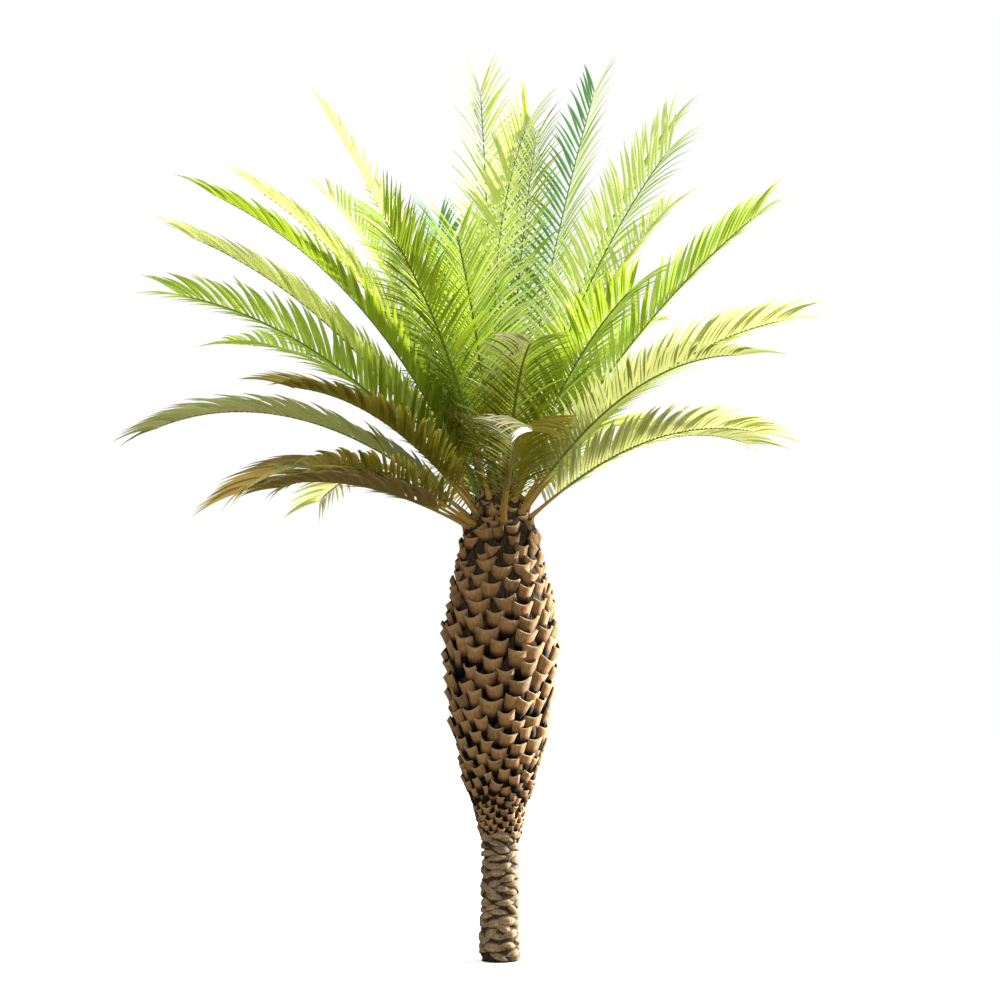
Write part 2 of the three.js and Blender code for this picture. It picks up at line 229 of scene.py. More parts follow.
def base_shape():
    """A slab one unit wide and high, its top at the origin. X across, Y up, Z out."""
    slab = bmesh.new()
    bmesh.ops.create_grid(slab, x_segments=6, y_segments=5, size=0.5)
    for vert in slab.verts:
        across, up = 2 * vert.co.x, vert.co.y + 0.5
        vert.co.x *= BASE_FOOT_WIDTH + (1 - BASE_FOOT_WIDTH) * up ** 0.6
        vert.co.y = up - 1 - BASE_DIP * (1 - across ** 2) * up ** 4
        vert.co.z = BASE_BULGE * (1 - across ** 2) + BASE_LIP * up ** 4
    thicken(slab, BASE_THICKNESS)
    return slab


def shape_arrays(shape):
    """Vertices, faces, and a material for each face: 0 outer face, 1 cut rim, 2 back and sides."""
    shape.normal_update()
    shape.verts.index_update()
    points = np.array([vert.co for vert in shape.verts])
    faces = [[vert.index for vert in face.verts] for face in shape.faces]
    kinds = [
        1 if face.normal.y > FACES_UP else 0 if face.normal.z > FACES_OUT else 2
        for face in shape.faces
    ]
    shape.free()
    return points, faces, kinds


def repeated_mesh(name, placed, faces):
    """One mesh of many copies of a shape, from the points of each and the faces of one."""
    count, size = placed.shape[:2]
    mesh = bpy.data.meshes.new(name)
    mesh.from_pydata(
        placed.reshape(-1, 3).tolist(), [],
        [[n * size + i for i in face] for n in range(count) for face in faces])
    return mesh


def scatter(name, shape, frames):
    """One mesh that holds the shape once for each frame: an origin and three axes with their
    lengths. Its UV map keeps each copy's own across and up, and "age" is one number for a copy."""
    points, faces, kinds = shape
    origins, across, up, out = frames
    placed = (
        origins[:, None, :]
        + points[None, :, 0, None] * across[:, None, :]
        + points[None, :, 1, None] * up[:, None, :]
        + points[None, :, 2, None] * out[:, None, :]
    )
    count, size = placed.shape[:2]
    mesh = repeated_mesh(name, placed, faces)
    mesh.polygons.foreach_set("material_index", np.tile(kinds, count))
    corners = np.zeros(len(mesh.loops), dtype=np.int32)
    mesh.loops.foreach_get("vertex_index", corners)
    low, high = points[:, :2].min(0), points[:, :2].max(0)
    local = (points[:, :2] - low) / (high - low)
    mesh.uv_layers.new(name="shape").data.foreach_set("uv", local[corners % size].ravel())
    age = mesh.attributes.new("age", "FLOAT", "POINT")
    age.data.foreach_set("value", np.repeat(chance.uniform(0, 1, count), size))
    return mesh


def trunk_axes(bearing):
    """Out, across and up on the trunk, at each of many bearings."""
    level = np.zeros(len(bearing))
    out = np.stack([np.cos(bearing), np.sin(bearing), level], 1)
    across = np.stack([-np.sin(bearing), np.cos(bearing), level], 1)
    return out, across, np.tile([0.0, 0.0, 1.0], (len(bearing), 1))


def swing(first, second, angle):
    """Two axes turned together, the first towards the second, by an angle for each row."""
    cosine, sine = np.cos(angle)[:, None], np.sin(angle)[:, None]
    return first * cosine + second * sine, second * cosine - first * sine


def base_frames(places):
    """Frames for slabs that stand on the trunk, their tops leaning out, with a little disorder."""
    z, bearing, radius = places.T
    count = len(places)
    disorder = 1 + NECK_DISORDER * np.clip((z - NECK_FROM) / NECK_FADE, 0, 1)
    bearing = bearing + chance.normal(0, BASE_BEARING_SPREAD, count) * disorder
    z = z + chance.normal(0, BASE_PLACE_SPREAD, count) * radius * disorder
    out, across, up = trunk_axes(bearing)
    stand = radius * BASE_STANDS * chance.uniform(*BASE_STAND_RANGE, count)
    stand *= 1 - NECK_FLATTENING * np.clip((z - NECK_FROM + NECK_FADE) / NECK_FLATTENS_OVER, 0, 1)
    tall = radius * BASE_HEIGHT * chance.uniform(*BASE_HEIGHT_RANGE, count)
    wide = radius * BASE_WIDTH * chance.uniform(*BASE_WIDTH_RANGE, count)
    heights = places[:, 0] + np.arange(count) * 1e-9  # no two alike, for the slope between them
    slope = np.gradient(trunk_radius(places[:, 0]), heights)
    followed = np.arctan(np.clip(slope, -BASE_FOLLOWS_TO, BASE_FOLLOWS_TO)) * BASE_FOLLOWS
    lean = np.arctan2(stand, tall) + followed
    tilt = chance.normal(0, BASE_TURN_SPREAD, count) * disorder
    twist = chance.normal(0, BASE_TURN_SPREAD, count) * disorder
    up_slab, out_slab = swing(up, out, lean)
    across_slab, out_slab = swing(across, out_slab, twist)
    across_slab, up_slab = swing(across_slab, up_slab, tilt)
    top_radius = radius * CORE_SHARE + stand - wide * BASE_BULGE * BASE_SUNK
    origins = out * top_radius[:, None] + up * z[:, None]
    return origins, across_slab * wide[:, None], up_slab * tall[:, None], out_slab * wide[:, None]


def shell_material(name, upward, grey, roughness):
    """Bark whose colour changes from the foot of each base to its top, by stops of a share and a
    colour, which carry the painted shade and light that the calls give them. It is greyer and
    darker towards both sides, as painted shade where the face turns away, and some bases are greyer
    than others, by their age."""
    material = bark_material(name, dark=(0.62, 0.60, 0.58), light=(1.0, 1.0, 1.0),
                             roughness=roughness, across=70, along=7, relief=0.35)
    nodes, links = material.node_tree.nodes, material.node_tree.links
    shader = nodes["Principled BSDF"]
    streaks = shader.inputs["Base Color"].links[0].from_socket
    place = nodes.new("ShaderNodeUVMap")
    place.uv_map = "shape"
    split = nodes.new("ShaderNodeSeparateXYZ")
    links.new(place.outputs["UV"], split.inputs["Vector"])
    along = nodes.new("ShaderNodeValToRGB")
    ramp = along.color_ramp
    for element, (share, colour) in zip(ramp.elements, (upward[0], upward[-1])):
        element.position, element.color = share, (*colour, 1)
    for share, colour in upward[1:-1]:
        ramp.elements.new(share).color = (*colour, 1)
    links.new(split.outputs["Y"], along.inputs["Fac"])
    # one share of grey from the age of each, and one of painted shade from how near a side is
    age = nodes.new("ShaderNodeAttribute")
    age.attribute_name = "age"
    older = nodes.new("ShaderNodeMapRange")
    older.inputs["From Min"].default_value = 0.45
    older.inputs["To Max"].default_value = 0.6
    links.new(age.outputs["Fac"], older.inputs["Value"])
    sideways = nodes.new("ShaderNodeMath")
    sideways.operation = "SUBTRACT"
    sideways.inputs[1].default_value = 0.5
    links.new(split.outputs["X"], sideways.inputs[0])
    apart = nodes.new("ShaderNodeMath")
    apart.operation = "ABSOLUTE"
    links.new(sideways.outputs["Value"], apart.inputs[0])
    side_shade = nodes.new("ShaderNodeMapRange")
    side_shade.inputs["From Min"].default_value = 0.15
    side_shade.inputs["From Max"].default_value = 0.5
    side_shade.inputs["To Max"].default_value = 0.6
    links.new(apart.outputs["Value"], side_shade.inputs["Value"])
    age_grey_and_side_shade = nodes.new("ShaderNodeMath")
    age_grey_and_side_shade.use_clamp = True
    links.new(older.outputs["Result"], age_grey_and_side_shade.inputs[0])
    links.new(side_shade.outputs["Result"], age_grey_and_side_shade.inputs[1])
    # the colour, greyed by the age and darkened by the painted side shade, then the streaks over
    # all of it
    weathered_and_shaded = nodes.new("ShaderNodeMix")
    weathered_and_shaded.data_type = "RGBA"
    weathered_and_shaded.blend_type = "MULTIPLY"
    weathered_and_shaded.inputs["B"].default_value = (*grey, 1)
    links.new(age_grey_and_side_shade.outputs["Value"], weathered_and_shaded.inputs["Factor"])
    links.new(along.outputs["Color"], weathered_and_shaded.inputs["A"])
    grained = nodes.new("ShaderNodeMix")
    grained.data_type = "RGBA"
    grained.blend_type = "MULTIPLY"
    grained.inputs["Factor"].default_value = 1.0
    links.new(weathered_and_shaded.outputs["Result"], grained.inputs["A"])
    links.new(streaks, grained.inputs["B"])
    links.new(grained.outputs["Result"], shader.inputs["Base Color"])
    return material


# painted shade: each base runs from near black at its foot up to tan, the crevice's shade painted
# on; the cut top is a little lighter
base_shell = shell_material(
    "base_shell",
    upward=((0.30, (0.006, 0.004, 0.002)), (0.42, (0.12, 0.060, 0.022)),
            (0.55, (0.36, 0.19, 0.073)), (0.80, (0.44, 0.25, 0.105)), (0.97, (0.48, 0.30, 0.14))),
    grey=(0.42, 0.47, 0.50), roughness=0.6)
cut_rim = bark_material(
    "cut_rim", dark=(0.14, 0.09, 0.045), light=(0.50, 0.34, 0.18),
    roughness=0.8, across=260, along=120, relief=0.6)
# painted shade: the back and sides of each base are coloured nearly black, as the shade behind it
base_back_in_shade = bark_material(
    "base_back_in_shade", dark=(0.008, 0.006, 0.004), light=(0.035, 0.025, 0.014),
    roughness=0.85, across=110, along=10, relief=0.6)
base_places = wound_places(BASES_FROM, BASES_TO, BASES_TOGETHER, BASE_RISE)
put("leaf_bases", scatter("leaf_bases", shape_arrays(base_shape()), base_frames(base_places)),
    "trunk_bark", base_shell, cut_rim, base_back_in_shade)

# ---- old scars on the stem ---------------------------------------------------------------------
# Lower down the stumps have weathered away to broad, lens-shaped scars. Each is a pad of
# grey-brown fibre, painted pale at its lower lip as a painted highlight and nearly black at its top
# as painted shade, and they lie crooked, with dark clefts between them.
SCARS_FROM, SCARS_TO = 0.03, 0.79
SCAR_RISE = 0.061  # a share of the trunk's radius, as the next two are
SCAR_WIDTH, SCAR_WIDTH_RANGE = 1.20, (0.85, 1.2)
SCAR_HEIGHT, SCAR_HEIGHT_RANGE = 0.56, (0.75, 1.2)
SCAR_BULGE, SCAR_CURL = 0.13, 0.22  # up in the middle, and down to the sides round the stem
SCAR_SLOPE = 0.06  # its lower lip stands out by this much and its top sinks in
SCAR_CORNER = 0.05  # how high it still is at its two pointed ends
SCAR_THICKNESS = 0.06
SCAR_BEARING_SPREAD, SCAR_PLACE_SPREAD, SCAR_TILT_SPREAD = 0.12, 0.006, 0.26
SCAR_MOST_LEAN = 0.42  # in radians: the lower lip stands out, the top sinks in
SCAR_RIM_FROM = 0.62  # of the way from the middle to the edge
SCAR_CLEARANCE = 0.7  # of its height, what stays between its middle and the ground


def scar_shape():
    """A shallow pad, lens-shaped, one unit wide and high, that bulges in the middle."""
    pad = bmesh.new()
    bmesh.ops.create_grid(pad, x_segments=8, y_segments=6, size=0.5)
    for vert in pad.verts:
        across, up = 2 * vert.co.x, 2 * vert.co.y
        vert.co.y = up * max(SCAR_CORNER, 1 - across ** 2) * 0.5
        bulge = SCAR_BULGE * (1 - up ** 2) * (1 - across ** 2)
        vert.co.z = bulge - SCAR_CURL * across ** 2 - SCAR_SLOPE * up
    thicken(pad, SCAR_THICKNESS)
    return pad


def scar_arrays():
    """As shape_arrays gives them, but with the material by how near the pad's edge a face is."""
    points, faces, _ = shape_arrays(scar_shape())
    kinds = []
    for face in faces:
        x, y, _ = np.mean(points[face], 0)
        reach = abs(y) / max(0.03, (1 - (2 * x) ** 2) * 0.5)
        kinds.append(0 if reach < SCAR_RIM_FROM else 1)
    return points, faces, kinds


def scar_frames(places):
    z, bearing, radius = places.T
    count = len(places)
    bearing = bearing + chance.normal(0, SCAR_BEARING_SPREAD, count)
    z = z + chance.normal(0, SCAR_PLACE_SPREAD, count)
    out, across, up = trunk_axes(bearing)
    wide = radius * SCAR_WIDTH * chance.uniform(*SCAR_WIDTH_RANGE, count)
    tall = radius * SCAR_HEIGHT * chance.uniform(*SCAR_HEIGHT_RANGE, count)
    lean = chance.uniform(0.0, SCAR_MOST_LEAN, count)
    tilt = chance.normal(0, SCAR_TILT_SPREAD, count)
    out_pad, up_pad = swing(out, up, lean)
    across_pad, up_pad = swing(across, up_pad, tilt)
    clear_height = np.maximum(z, tall * SCAR_CLEARANCE)
    origins = out * (radius * CORE_SHARE)[:, None] + up * clear_height[:, None]
    return origins, across_pad * wide[:, None], up_pad * tall[:, None], out_pad * wide[:, None]


# painted light and shade: each pad runs from a pale lower lip, a painted highlight where it stands
# out, to a nearly black top, painted shade under the pad above
scar_pad = shell_material(
    "scar_pad",
    upward=((0.05, (0.66, 0.47, 0.25)), (0.20, (0.50, 0.33, 0.16)),
            (0.34, (0.25, 0.20, 0.13)), (0.62, (0.30, 0.22, 0.14)), (0.85, (0.035, 0.018, 0.010))),
    grey=(0.55, 0.62, 0.66), roughness=0.8)
scar_rim = bark_material(
    "scar_rim", dark=(0.10, 0.05, 0.018), light=(0.42, 0.26, 0.11),
    roughness=0.7, across=90, along=60, relief=0.5)
scar_places = wound_places(SCARS_FROM, SCARS_TO, 1, SCAR_RISE)
put("stem_scars", scatter("stem_scars", scar_arrays(), scar_frames(scar_places)),
    "trunk_bark", scar_pad, scar_rim)

# ---- fronds: how each rib runs -----------------------------------------------------------------
# The rib leaves the heart at its frond's own rise and bends over under the weight of the leaves,
# most towards the tip. Bearing and rise of every frond follow, then, where they differ from its
# tier, the share of the tier's length and of its bend, and the twist that lifts its right row.
FRONDS = (
    (207, 22.6, 0.69, 0.85), (219.5, 26.8, 0.88, 1.3), (126, 30, 1, 1.21), (275, 29.5, 0.92),
    (95, 30, 0.92), (150, 29, 0.76), (341, 38.4, 0.78, 1.2, 8), (37, 36),
    (220, 42.2, 0.77, 1.05, 12), (178, 40, 1.03, 1.4), (62, 39), (315, 44, 0.92, 1.2),
    (275, 41, 0.95), (84, 43), (112, 45), (22, 52, 0.78), (150, 50.5, 1, 1.27, 20),
    (352, 51, 0.89, 1.12, 12), (197, 50, 1, 1.1, -15), (60, 52), (178, 55.9, 1.04, 0.97),
    (354, 58, 0.95, 0.6, 15), (308, 58, 0.7), (90, 60), (242, 61, 0.78), (200, 62, 1, 1.4, 14),
    (170, 66.2, 0.97, 1.25), (40, 66, 0.95), (120, 66), (255, 68, 0.68), (3, 73.4, 0.93, 1, -50),
    (142, 67.5, 0.96, 1.05), (212, 73, 0.72, 1, -50), (168, 73.1, 1, 0.75),
    (22, 73.5, 1.03, 1, -20), (82, 74), (120, 75, 0.77), (71, 80, 0.96), (49, 75.5, 1.09, 0.45),
    (125, 88, 0.96, 0.5, 15), (320, 100, 0.88, 5.6, 12),
)
LOWEST_RISE, HIGHEST_RISE = 19, 88
HEART_SHOULDER, HEART_SHOULDER_RADIUS = 2.605, 0.23
HEART_TOP, HEART_TOP_RADIUS = 2.96, 0.06
SHORT_FROND, LONG_FROND = 2.23, 2.74
LONGER_BETWEEN = (34, 70)  # rises
FOOT_POWER = 1.35
LIMP_BEND, LIMP_UNTIL, STIFFENING, STIFF_BEND = 57, 36, 0.9, 8
BEND_POWER = 1.6
RIB_STEP = 0.01
ROOT_DEPTH = 0.04  # how far it reaches into the heart
PETIOLE = 0.20  # the bare stalk, in which the frond twists
TIP_FAN = 0.23  # the last leaflets alone make up this much of a frond's length


def rib_path(bearing, rise, length_share=1, bend_share=1, twist=0):
    """The rib's line from just inside the heart to its tip, as arrays over its length."""
    steepness = min(1, (rise - LOWEST_RISE) / (HIGHEST_RISE - LOWEST_RISE))
    up_heart = steepness ** FOOT_POWER
    longer = np.clip((rise - LONGER_BETWEEN[0]) / (LONGER_BETWEEN[1] - LONGER_BETWEEN[0]), 0, 1)
    longer = longer ** 2 * (3 - 2 * longer)
    length = (SHORT_FROND + (LONG_FROND - SHORT_FROND) * longer) * length_share
    bend = max(STIFF_BEND, LIMP_BEND - STIFFENING * max(0, rise - LIMP_UNTIL)) * bend_share
    turn = np.radians(bearing)
    outward = np.array([np.cos(turn), np.sin(turn), 0.0])
    level = np.array([np.sin(turn), -np.cos(turn), 0.0])
    distance = np.arange(-ROOT_DEPTH, length - TIP_FAN, RIB_STEP)
    slope = np.radians(rise - bend * np.clip(distance / length, 0, 1) ** BEND_POWER)
    along = np.cos(slope)[:, None] * outward + np.sin(slope)[:, None] * np.array([0, 0, 1.0])
    radius = HEART_SHOULDER_RADIUS + (HEART_TOP_RADIUS - HEART_SHOULDER_RADIUS) * up_heart
    foot = outward * radius
    foot[2] = HEART_SHOULDER + (HEART_TOP - HEART_SHOULDER) * up_heart
    run = np.vstack([np.zeros(3), np.cumsum(along[:-1] * RIB_STEP, 0)])
    points = foot - along[0] * ROOT_DEPTH + run
    twisted = np.radians(twist) * np.clip(distance / PETIOLE, 0, 1)[:, None]
    side = level * np.cos(twisted) + np.cross(level, along) * np.sin(twisted)
    return {
        "rise": rise, "steepness": steepness, "length": length, "distance": distance,
        "points": points, "along": along, "up": np.cross(side, along), "side": side,
    }


ribs = [rib_path(*frond) for frond in FRONDS]
nodes_of_frond = [
    [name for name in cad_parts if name.startswith(f"frond_{number:02d}")]
    for number in range(1, len(FRONDS) + 1)
]

# ---- ribs and stalks ---------------------------------------------------------------------------
# A smooth, waxy stalk, flattened underneath, that clasps the heart with a broad foot and thins
# to a wand at the tip. Old ones are tan at the foot and olive beyond, young ones yellow-green.
RIB_SIDES = 8
RIB_RINGS = 34
RINGS_CLOSER = 1.25  # a power: towards the foot they stand closer together
FOOT_WIDTH, TIP_WIDTH = 0.026, 0.009
SWELLING, SWELLING_FADE = 0.024, 0.11  # of the stalk towards the foot
CLASP, CLASP_FADE = 0.02, 0.04  # of the foot itself
STEEP_WIDTH = 0.62  # the share that is left of all this on the steepest frond
RIB_THICKNESS = 0.7  # a share of its width
OLD_BELOW = 46  # rise, for a rib that is olive all along
OCHRE_BELOW, OCHRE_TO = 62, 0.30  # rise, and the length of its stalk that is ochre


def rib_width(rib, distance):
    share = np.clip(distance / rib["length"], 0, 1)
    swelling = SWELLING * np.exp(-np.maximum(distance, 0) / SWELLING_FADE)
    swelling += CLASP * np.exp(-(distance + ROOT_DEPTH) / CLASP_FADE)
    width = FOOT_WIDTH + (TIP_WIDTH - FOOT_WIDTH) * share + swelling
    return width * (1 + (STEEP_WIDTH - 1) * rib["steepness"])


def rib_rings(rib):
    """The points of each ring of a rib, and how far along the rib each ring is."""
    distance = rib["distance"]
    picked = np.linspace(0, 1, RIB_RINGS) ** RINGS_CLOSER * (len(distance) - 1)
    picked = np.round(picked).astype(int)
    centre, side, up = rib["points"][picked], rib["side"][picked], rib["up"][picked]
    half = rib_width(rib, distance[picked]) / 2
    half[-1] *= 0.3  # the tip is nearly a point
    turn = np.linspace(0, 2 * np.pi, RIB_SIDES, endpoint=False)
    rings = (
        centre[:, None, :]
        + (np.cos(turn)[None, :] * half[:, None])[:, :, None] * side[:, None, :]
        + (np.sin(turn)[None, :] * half[:, None] * RIB_THICKNESS)[:, :, None] * up[:, None, :]
    )
    return rings, distance[picked]


def rib_mesh():
    """All ribs in one mesh. Material 0 is the ochre foot, 1 the olive of an old rib, 2 green."""
    points, faces, kinds = [], [], []
    for rib in ribs:
        rings, distance = rib_rings(rib)
        start = sum(len(p) for p in points)
        points.append(rings.reshape(-1, 3))
        beyond_foot = 1 if rib["rise"] < OLD_BELOW else 2
        for k in range(RIB_RINGS - 1):
            is_foot = distance[k] < OCHRE_TO and rib["rise"] < OCHRE_BELOW
            kind = 0 if is_foot else beyond_foot
            for i in range(RIB_SIDES):
                j = (i + 1) % RIB_SIDES
                low, high = start + k * RIB_SIDES, start + (k + 1) * RIB_SIDES
                faces.append((low + i, high + i, high + j, low + j))
                kinds.append(kind)
        faces.append([start + i for i in range(RIB_SIDES)])
        faces.append([start + (RIB_RINGS - 1) * RIB_SIDES + i for i in reversed(range(RIB_SIDES))])
        kinds += [0, 2]
    mesh = bpy.data.meshes.new("ribs")
    mesh.from_pydata(np.vstack(points).tolist(), [], faces)
    mesh.polygons.foreach_set("material_index", kinds)
    return mesh


def waxy_material(name, colour, roughness):
    """A smooth stalk of one plain colour, its gloss broken by fine streaks."""
    material, shader, _ = streaked_material(
        name, across=160, along=30, relief=0.15,
        smoothest=roughness - 0.1, roughest=roughness + 0.15)
    shader.inputs["Base Color"].default_value = (*colour, 1)
    return material


put("ribs", rib_mesh(), "rib",
    waxy_material("stalk_ochre", (0.38, 0.235, 0.03), 0.45),
    waxy_material("rib_olive", (0.20, 0.16, 0.02), 0.42),
    waxy_material("rib_green", (0.14, 0.20, 0.02), 0.4))

# ---- leaflets ----------------------------------------------------------------------------------
# Pointed blades, folded lengthwise in a shallow V, in two rows that stand up from the rib and
# arch over under their weight. They are longest just before the middle of the frond and lean
# forward towards its tip, where they end in a fan. Old fronds are olive, young ones lime, and the
# tints also carry painted light and shade: darker in the crown's shade, paler where light shines
# through.
PAIRS = 54
LEAFLET_LENGTH, LENGTH_RANGE = 0.44, (0.94, 1.03)
LEAFLET_WIDTH, WIDTH_RANGE = 0.030, (0.92, 1.08)
LEAST_WIDTH = 0.7  # the share of it that is left at the frond's ends
LEAFLET_ANGLE, ANGLE_POWER = (67, 22), 1.5  # to the rib, at its foot and at its tip
FLATTER_BELOW = 13  # old, low fronds hold their leaflets this much closer to the rib
LEAFLET_RAISE = (30, 12)  # above the frond's own plane, at its foot and at its tip
LEAST_RAISE = 0.25  # the share of it that is left on the lowest frond
LEAST_FULLNESS, FULLNESS_POWER = 0.6, 0.8  # of the length, at the frond's ends
ARCH, SAG = 0.26, 0.31  # shares of its length that a leaflet starts above its line, and sinks
CLUMP = 0.11  # leaflets lean together in twos and threes, this far from bunch to bunch
CLUMPING = 2.6  # degrees that they lean
FOLD = 0.5
BLADE_SHOULDER, BLADE_POINT = 0.25, 2.2  # where it reaches full width, and the power it ends by
SLANT = 35  # each blade is turned about its own length, like the slats of a blind
ANGLE_SPREAD, RAISE_SPREAD, SLANT_SPREAD = 1.3, 2.2, 0.12  # the first two in degrees
PLACE_SPREAD = 0.004


def leaflet_shape():
    """One unit long and wide, X across, Y along, folded along the middle and pointed."""
    blade = bmesh.new()
    bmesh.ops.create_grid(blade, x_segments=2, y_segments=9, size=0.5)
    for vert in blade.verts:
        along, across = vert.co.y + 0.5, 2 * vert.co.x
        width = (0.5 + 0.5 * min(1.0, along / BLADE_SHOULDER)) * (1 - along ** BLADE_POINT)
        vert.co = Vector((across * width / 2, along, FOLD * abs(across) * width / 2))
    bmesh.ops.remove_doubles(blade, verts=blade.verts, dist=1e-4)
    points = np.array([vert.co for vert in blade.verts])
    blade.verts.index_update()
    faces = [[vert.index for vert in face.verts] for face in blade.faces]
    blade.free()
    return points, faces


# deep_olive is painted shade and pale_lime painted light: darker and paler copies of the green
TINTS = {
    "bleached": (0.82, 0.82, 0.72),
    "sage": (0.30, 0.33, 0.12),
    "straw": (0.46, 0.50, 0.22),
    "olive_brown": (0.28, 0.21, 0.05),
    "deep_olive": (0.13, 0.135, 0.008),
    "olive": (0.23, 0.20, 0.018),
    "olive_green": (0.20, 0.225, 0.012),
    "leaf_green": (0.22, 0.30, 0.020),
    "fresh_green": (0.32, 0.43, 0.035),
    "lime": (0.44, 0.59, 0.11),
    "pale_lime": (0.62, 0.76, 0.27),
    "blue_green": (0.17, 0.36, 0.15),
}
rank = {tint: index for index, tint in enumerate(TINTS)}
# The tints of each frond's right and left rows, looking outwards. One name stands for both.
# They are partly the fronds' age and partly painted light and shade: darker tints for fronds in the
# crown's shade, paler ones for fronds that the key light shines through.
FROND_TINTS = (
    "olive_brown", "olive_brown olive", "straw", "deep_olive olive", "olive",
    "olive", "straw pale_lime", "straw", "olive_green", "leaf_green straw",
    "pale_lime", "sage pale_lime", "deep_olive fresh_green", "olive_green", "olive_green",
    "pale_lime", "lime", "straw pale_lime", "lime", "lime",
    "pale_lime", "lime pale_lime", "fresh_green lime", "fresh_green", "leaf_green fresh_green",
    "fresh_green", "pale_lime", "pale_lime", "fresh_green", "fresh_green lime",
    "lime pale_lime", "pale_lime", "fresh_green", "pale_lime", "lime pale_lime",
    "lime", "blue_green", "fresh_green", "lime blue_green", "pale_lime",
    "pale_lime",
)
BLEACHED_FROND, BLEACHED_FROM = 4, 0.86  # the sun has bleached the end of its right row
STRAYS = 0.10  # the share of leaflets that have the tint next to their row's
# the browner tints low in the crown are partly the age of the lower fronds and partly painted shade
# of the crown's underside
AGED_AND_SHADED_BELOW, AGED_AND_SHADED_STEP = 3.6, 0.2  # low in the crown they are browner, by a tint each step down
MOST_AGED_AND_SHADED = 2


def leaflet_frames(rib):
    """Origins and axes of a frond's leaflets, both rows and the one at the tip."""
    distance = np.repeat(np.linspace(PETIOLE, rib["length"] - TIP_FAN, PAIRS), 2)
    count = len(distance)
    hand = np.tile([1.0, -1.0], PAIRS)
    distance = distance + chance.uniform(-PLACE_SPREAD, PLACE_SPREAD, count)
    clump = np.sin(distance * 2 * np.pi / CLUMP + hand * chance.uniform(0, 6))
    clump += np.sin(distance * 23)  # a second, longer wave, so that no two bunches are alike
    share = distance / rib["length"]
    place = np.clip(np.searchsorted(rib["distance"], distance), 0, len(rib["distance"]) - 1)
    along, side, up = rib["along"][place], rib["side"][place], rib["up"][place]
    widest = LEAFLET_ANGLE[0] - FLATTER_BELOW * (1 - rib["steepness"])
    angle = widest + (LEAFLET_ANGLE[1] - widest) * share ** ANGLE_POWER
    angle = np.radians(angle + CLUMPING * clump + chance.normal(0, ANGLE_SPREAD, count))
    raised = LEAFLET_RAISE[0] + (LEAFLET_RAISE[1] - LEAFLET_RAISE[0]) * share
    raised = raised * (LEAST_RAISE + (1 - LEAST_RAISE) * min(1, rib["steepness"] * 1.5))
    raised = np.radians(raised + chance.normal(0, RAISE_SPREAD, count))
    swell = np.sin(np.pi * share ** FULLNESS_POWER)
    length = LEAFLET_LENGTH * (LEAST_FULLNESS + (1 - LEAST_FULLNESS) * swell)
    length = length * chance.uniform(*LENGTH_RANGE, count)
    across_rib = side * (hand * np.cos(raised))[:, None] + up * np.sin(raised)[:, None]
    aim = along * np.cos(angle)[:, None] + across_rib * np.sin(angle)[:, None]
    width_way = along - aim * np.sum(along * aim, 1)[:, None]
    width_way /= np.linalg.norm(width_way, axis=1)[:, None]
    face_way = np.cross(width_way, aim) * hand[:, None]
    roll = np.radians(SLANT) + chance.normal(0, SLANT_SPREAD, count)
    rolled_width, rolled_face = swing(width_way, face_way, roll)
    width = LEAFLET_WIDTH * (LEAST_WIDTH + (1 - LEAST_WIDTH) * swell)
    width = width * chance.uniform(*WIDTH_RANGE, count)
    origins = rib["points"][place] + across_rib * (rib_width(rib, distance) * 0.3)[:, None]
    return {
        "origin": origins, "aim": aim, "width": rolled_width * width[:, None],
        "face": rolled_face * width[:, None], "length": length, "hand": hand, "share": share,
    }


def grow(name, shape, leaves):
    """One joined mesh of leaflets that rise from the rib and arch over."""
    points, faces = shape
    t = points[:, 1]
    length = leaves["length"][:, None, None]
    placed = (
        leaves["origin"][:, None, :]
        + points[None, :, 0, None] * leaves["width"][:, None, :]
        + points[None, :, 2, None] * leaves["face"][:, None, :]
        + length * t[None, :, None] * leaves["aim"][:, None, :]
        + length * (ARCH * t - SAG * t ** 2)[None, :, None] * np.array([0, 0, 1.0])
    )
    return repeated_mesh(name, placed, faces)


GLOW_SHARE = 0.42  # of the light, what goes through the blade
GLOW_GAIN = (1.6, 1.5, 1.3)  # it comes out brighter and yellower than the blade's own colour


def leaf_material(name, colour):
    """A leaf blade: light that falls on one side glows through to the other."""
    material = bpy.data.materials.new(name)
    material.use_nodes = True
    nodes, links = material.node_tree.nodes, material.node_tree.links
    shader = nodes["Principled BSDF"]
    shader.inputs["Base Color"].default_value = (*colour, 1)
    shader.inputs["Specular IOR Level"].default_value = 0.35
    place = nodes.new("ShaderNodeTexCoord")
    dust = nodes.new("ShaderNodeTexNoise")
    dust.inputs["Scale"].default_value = 45
    links.new(place.outputs["Object"], dust.inputs["Vector"])
    gloss = nodes.new("ShaderNodeMapRange")
    gloss.inputs["To Min"].default_value = 0.35
    gloss.inputs["To Max"].default_value = 0.6
    links.new(dust.outputs["Fac"], gloss.inputs["Value"])
    links.new(gloss.outputs["Result"], shader.inputs["Roughness"])
    through = nodes.new("ShaderNodeBsdfTranslucent")
    glow = [min(1, part * gain) for part, gain in zip(colour, GLOW_GAIN)]
    through.inputs["Color"].default_value = (*glow, 1)
    mix = nodes.new("ShaderNodeMixShader")
    mix.inputs["Fac"].default_value = GLOW_SHARE
    links.new(shader.outputs["BSDF"], mix.inputs[1])
    links.new(through.outputs["BSDF"], mix.inputs[2])
    links.new(mix.outputs["Shader"], nodes["Material Output"].inputs["Surface"])
    return material


